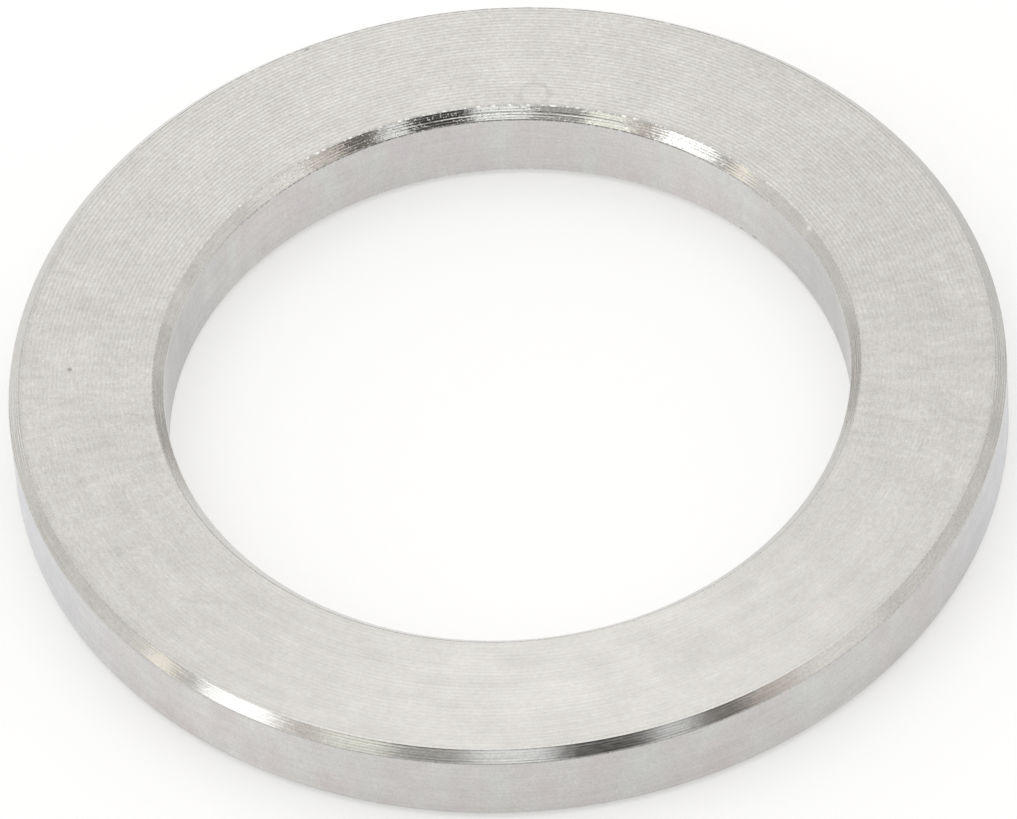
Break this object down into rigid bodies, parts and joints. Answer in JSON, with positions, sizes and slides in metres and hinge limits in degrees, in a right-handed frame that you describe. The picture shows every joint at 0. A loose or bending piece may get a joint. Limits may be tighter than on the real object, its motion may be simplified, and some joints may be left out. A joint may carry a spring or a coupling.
{
  "type": "flat washer",
  "caption": "Thick plain turned washer or spacer ring with a round bore and small chamfers on all four edges.",
  "frame": {"origin": "centre of the bore on the lower flat face, which the washer rests on", "axes": "+Z along the bore axis, from the lower face to the upper face; X and Y are any two radial directions"},
  "size_m": [0.032, 0.032, 0.003],
  "materials": {
    "turned_aluminium": "fine-turned faces and rim with visible concentric tool marks, uncoated"
  },
  "bodies": {
    "root": {"washer_ring": "turned_aluminium"}
  },
  "joints": []
}
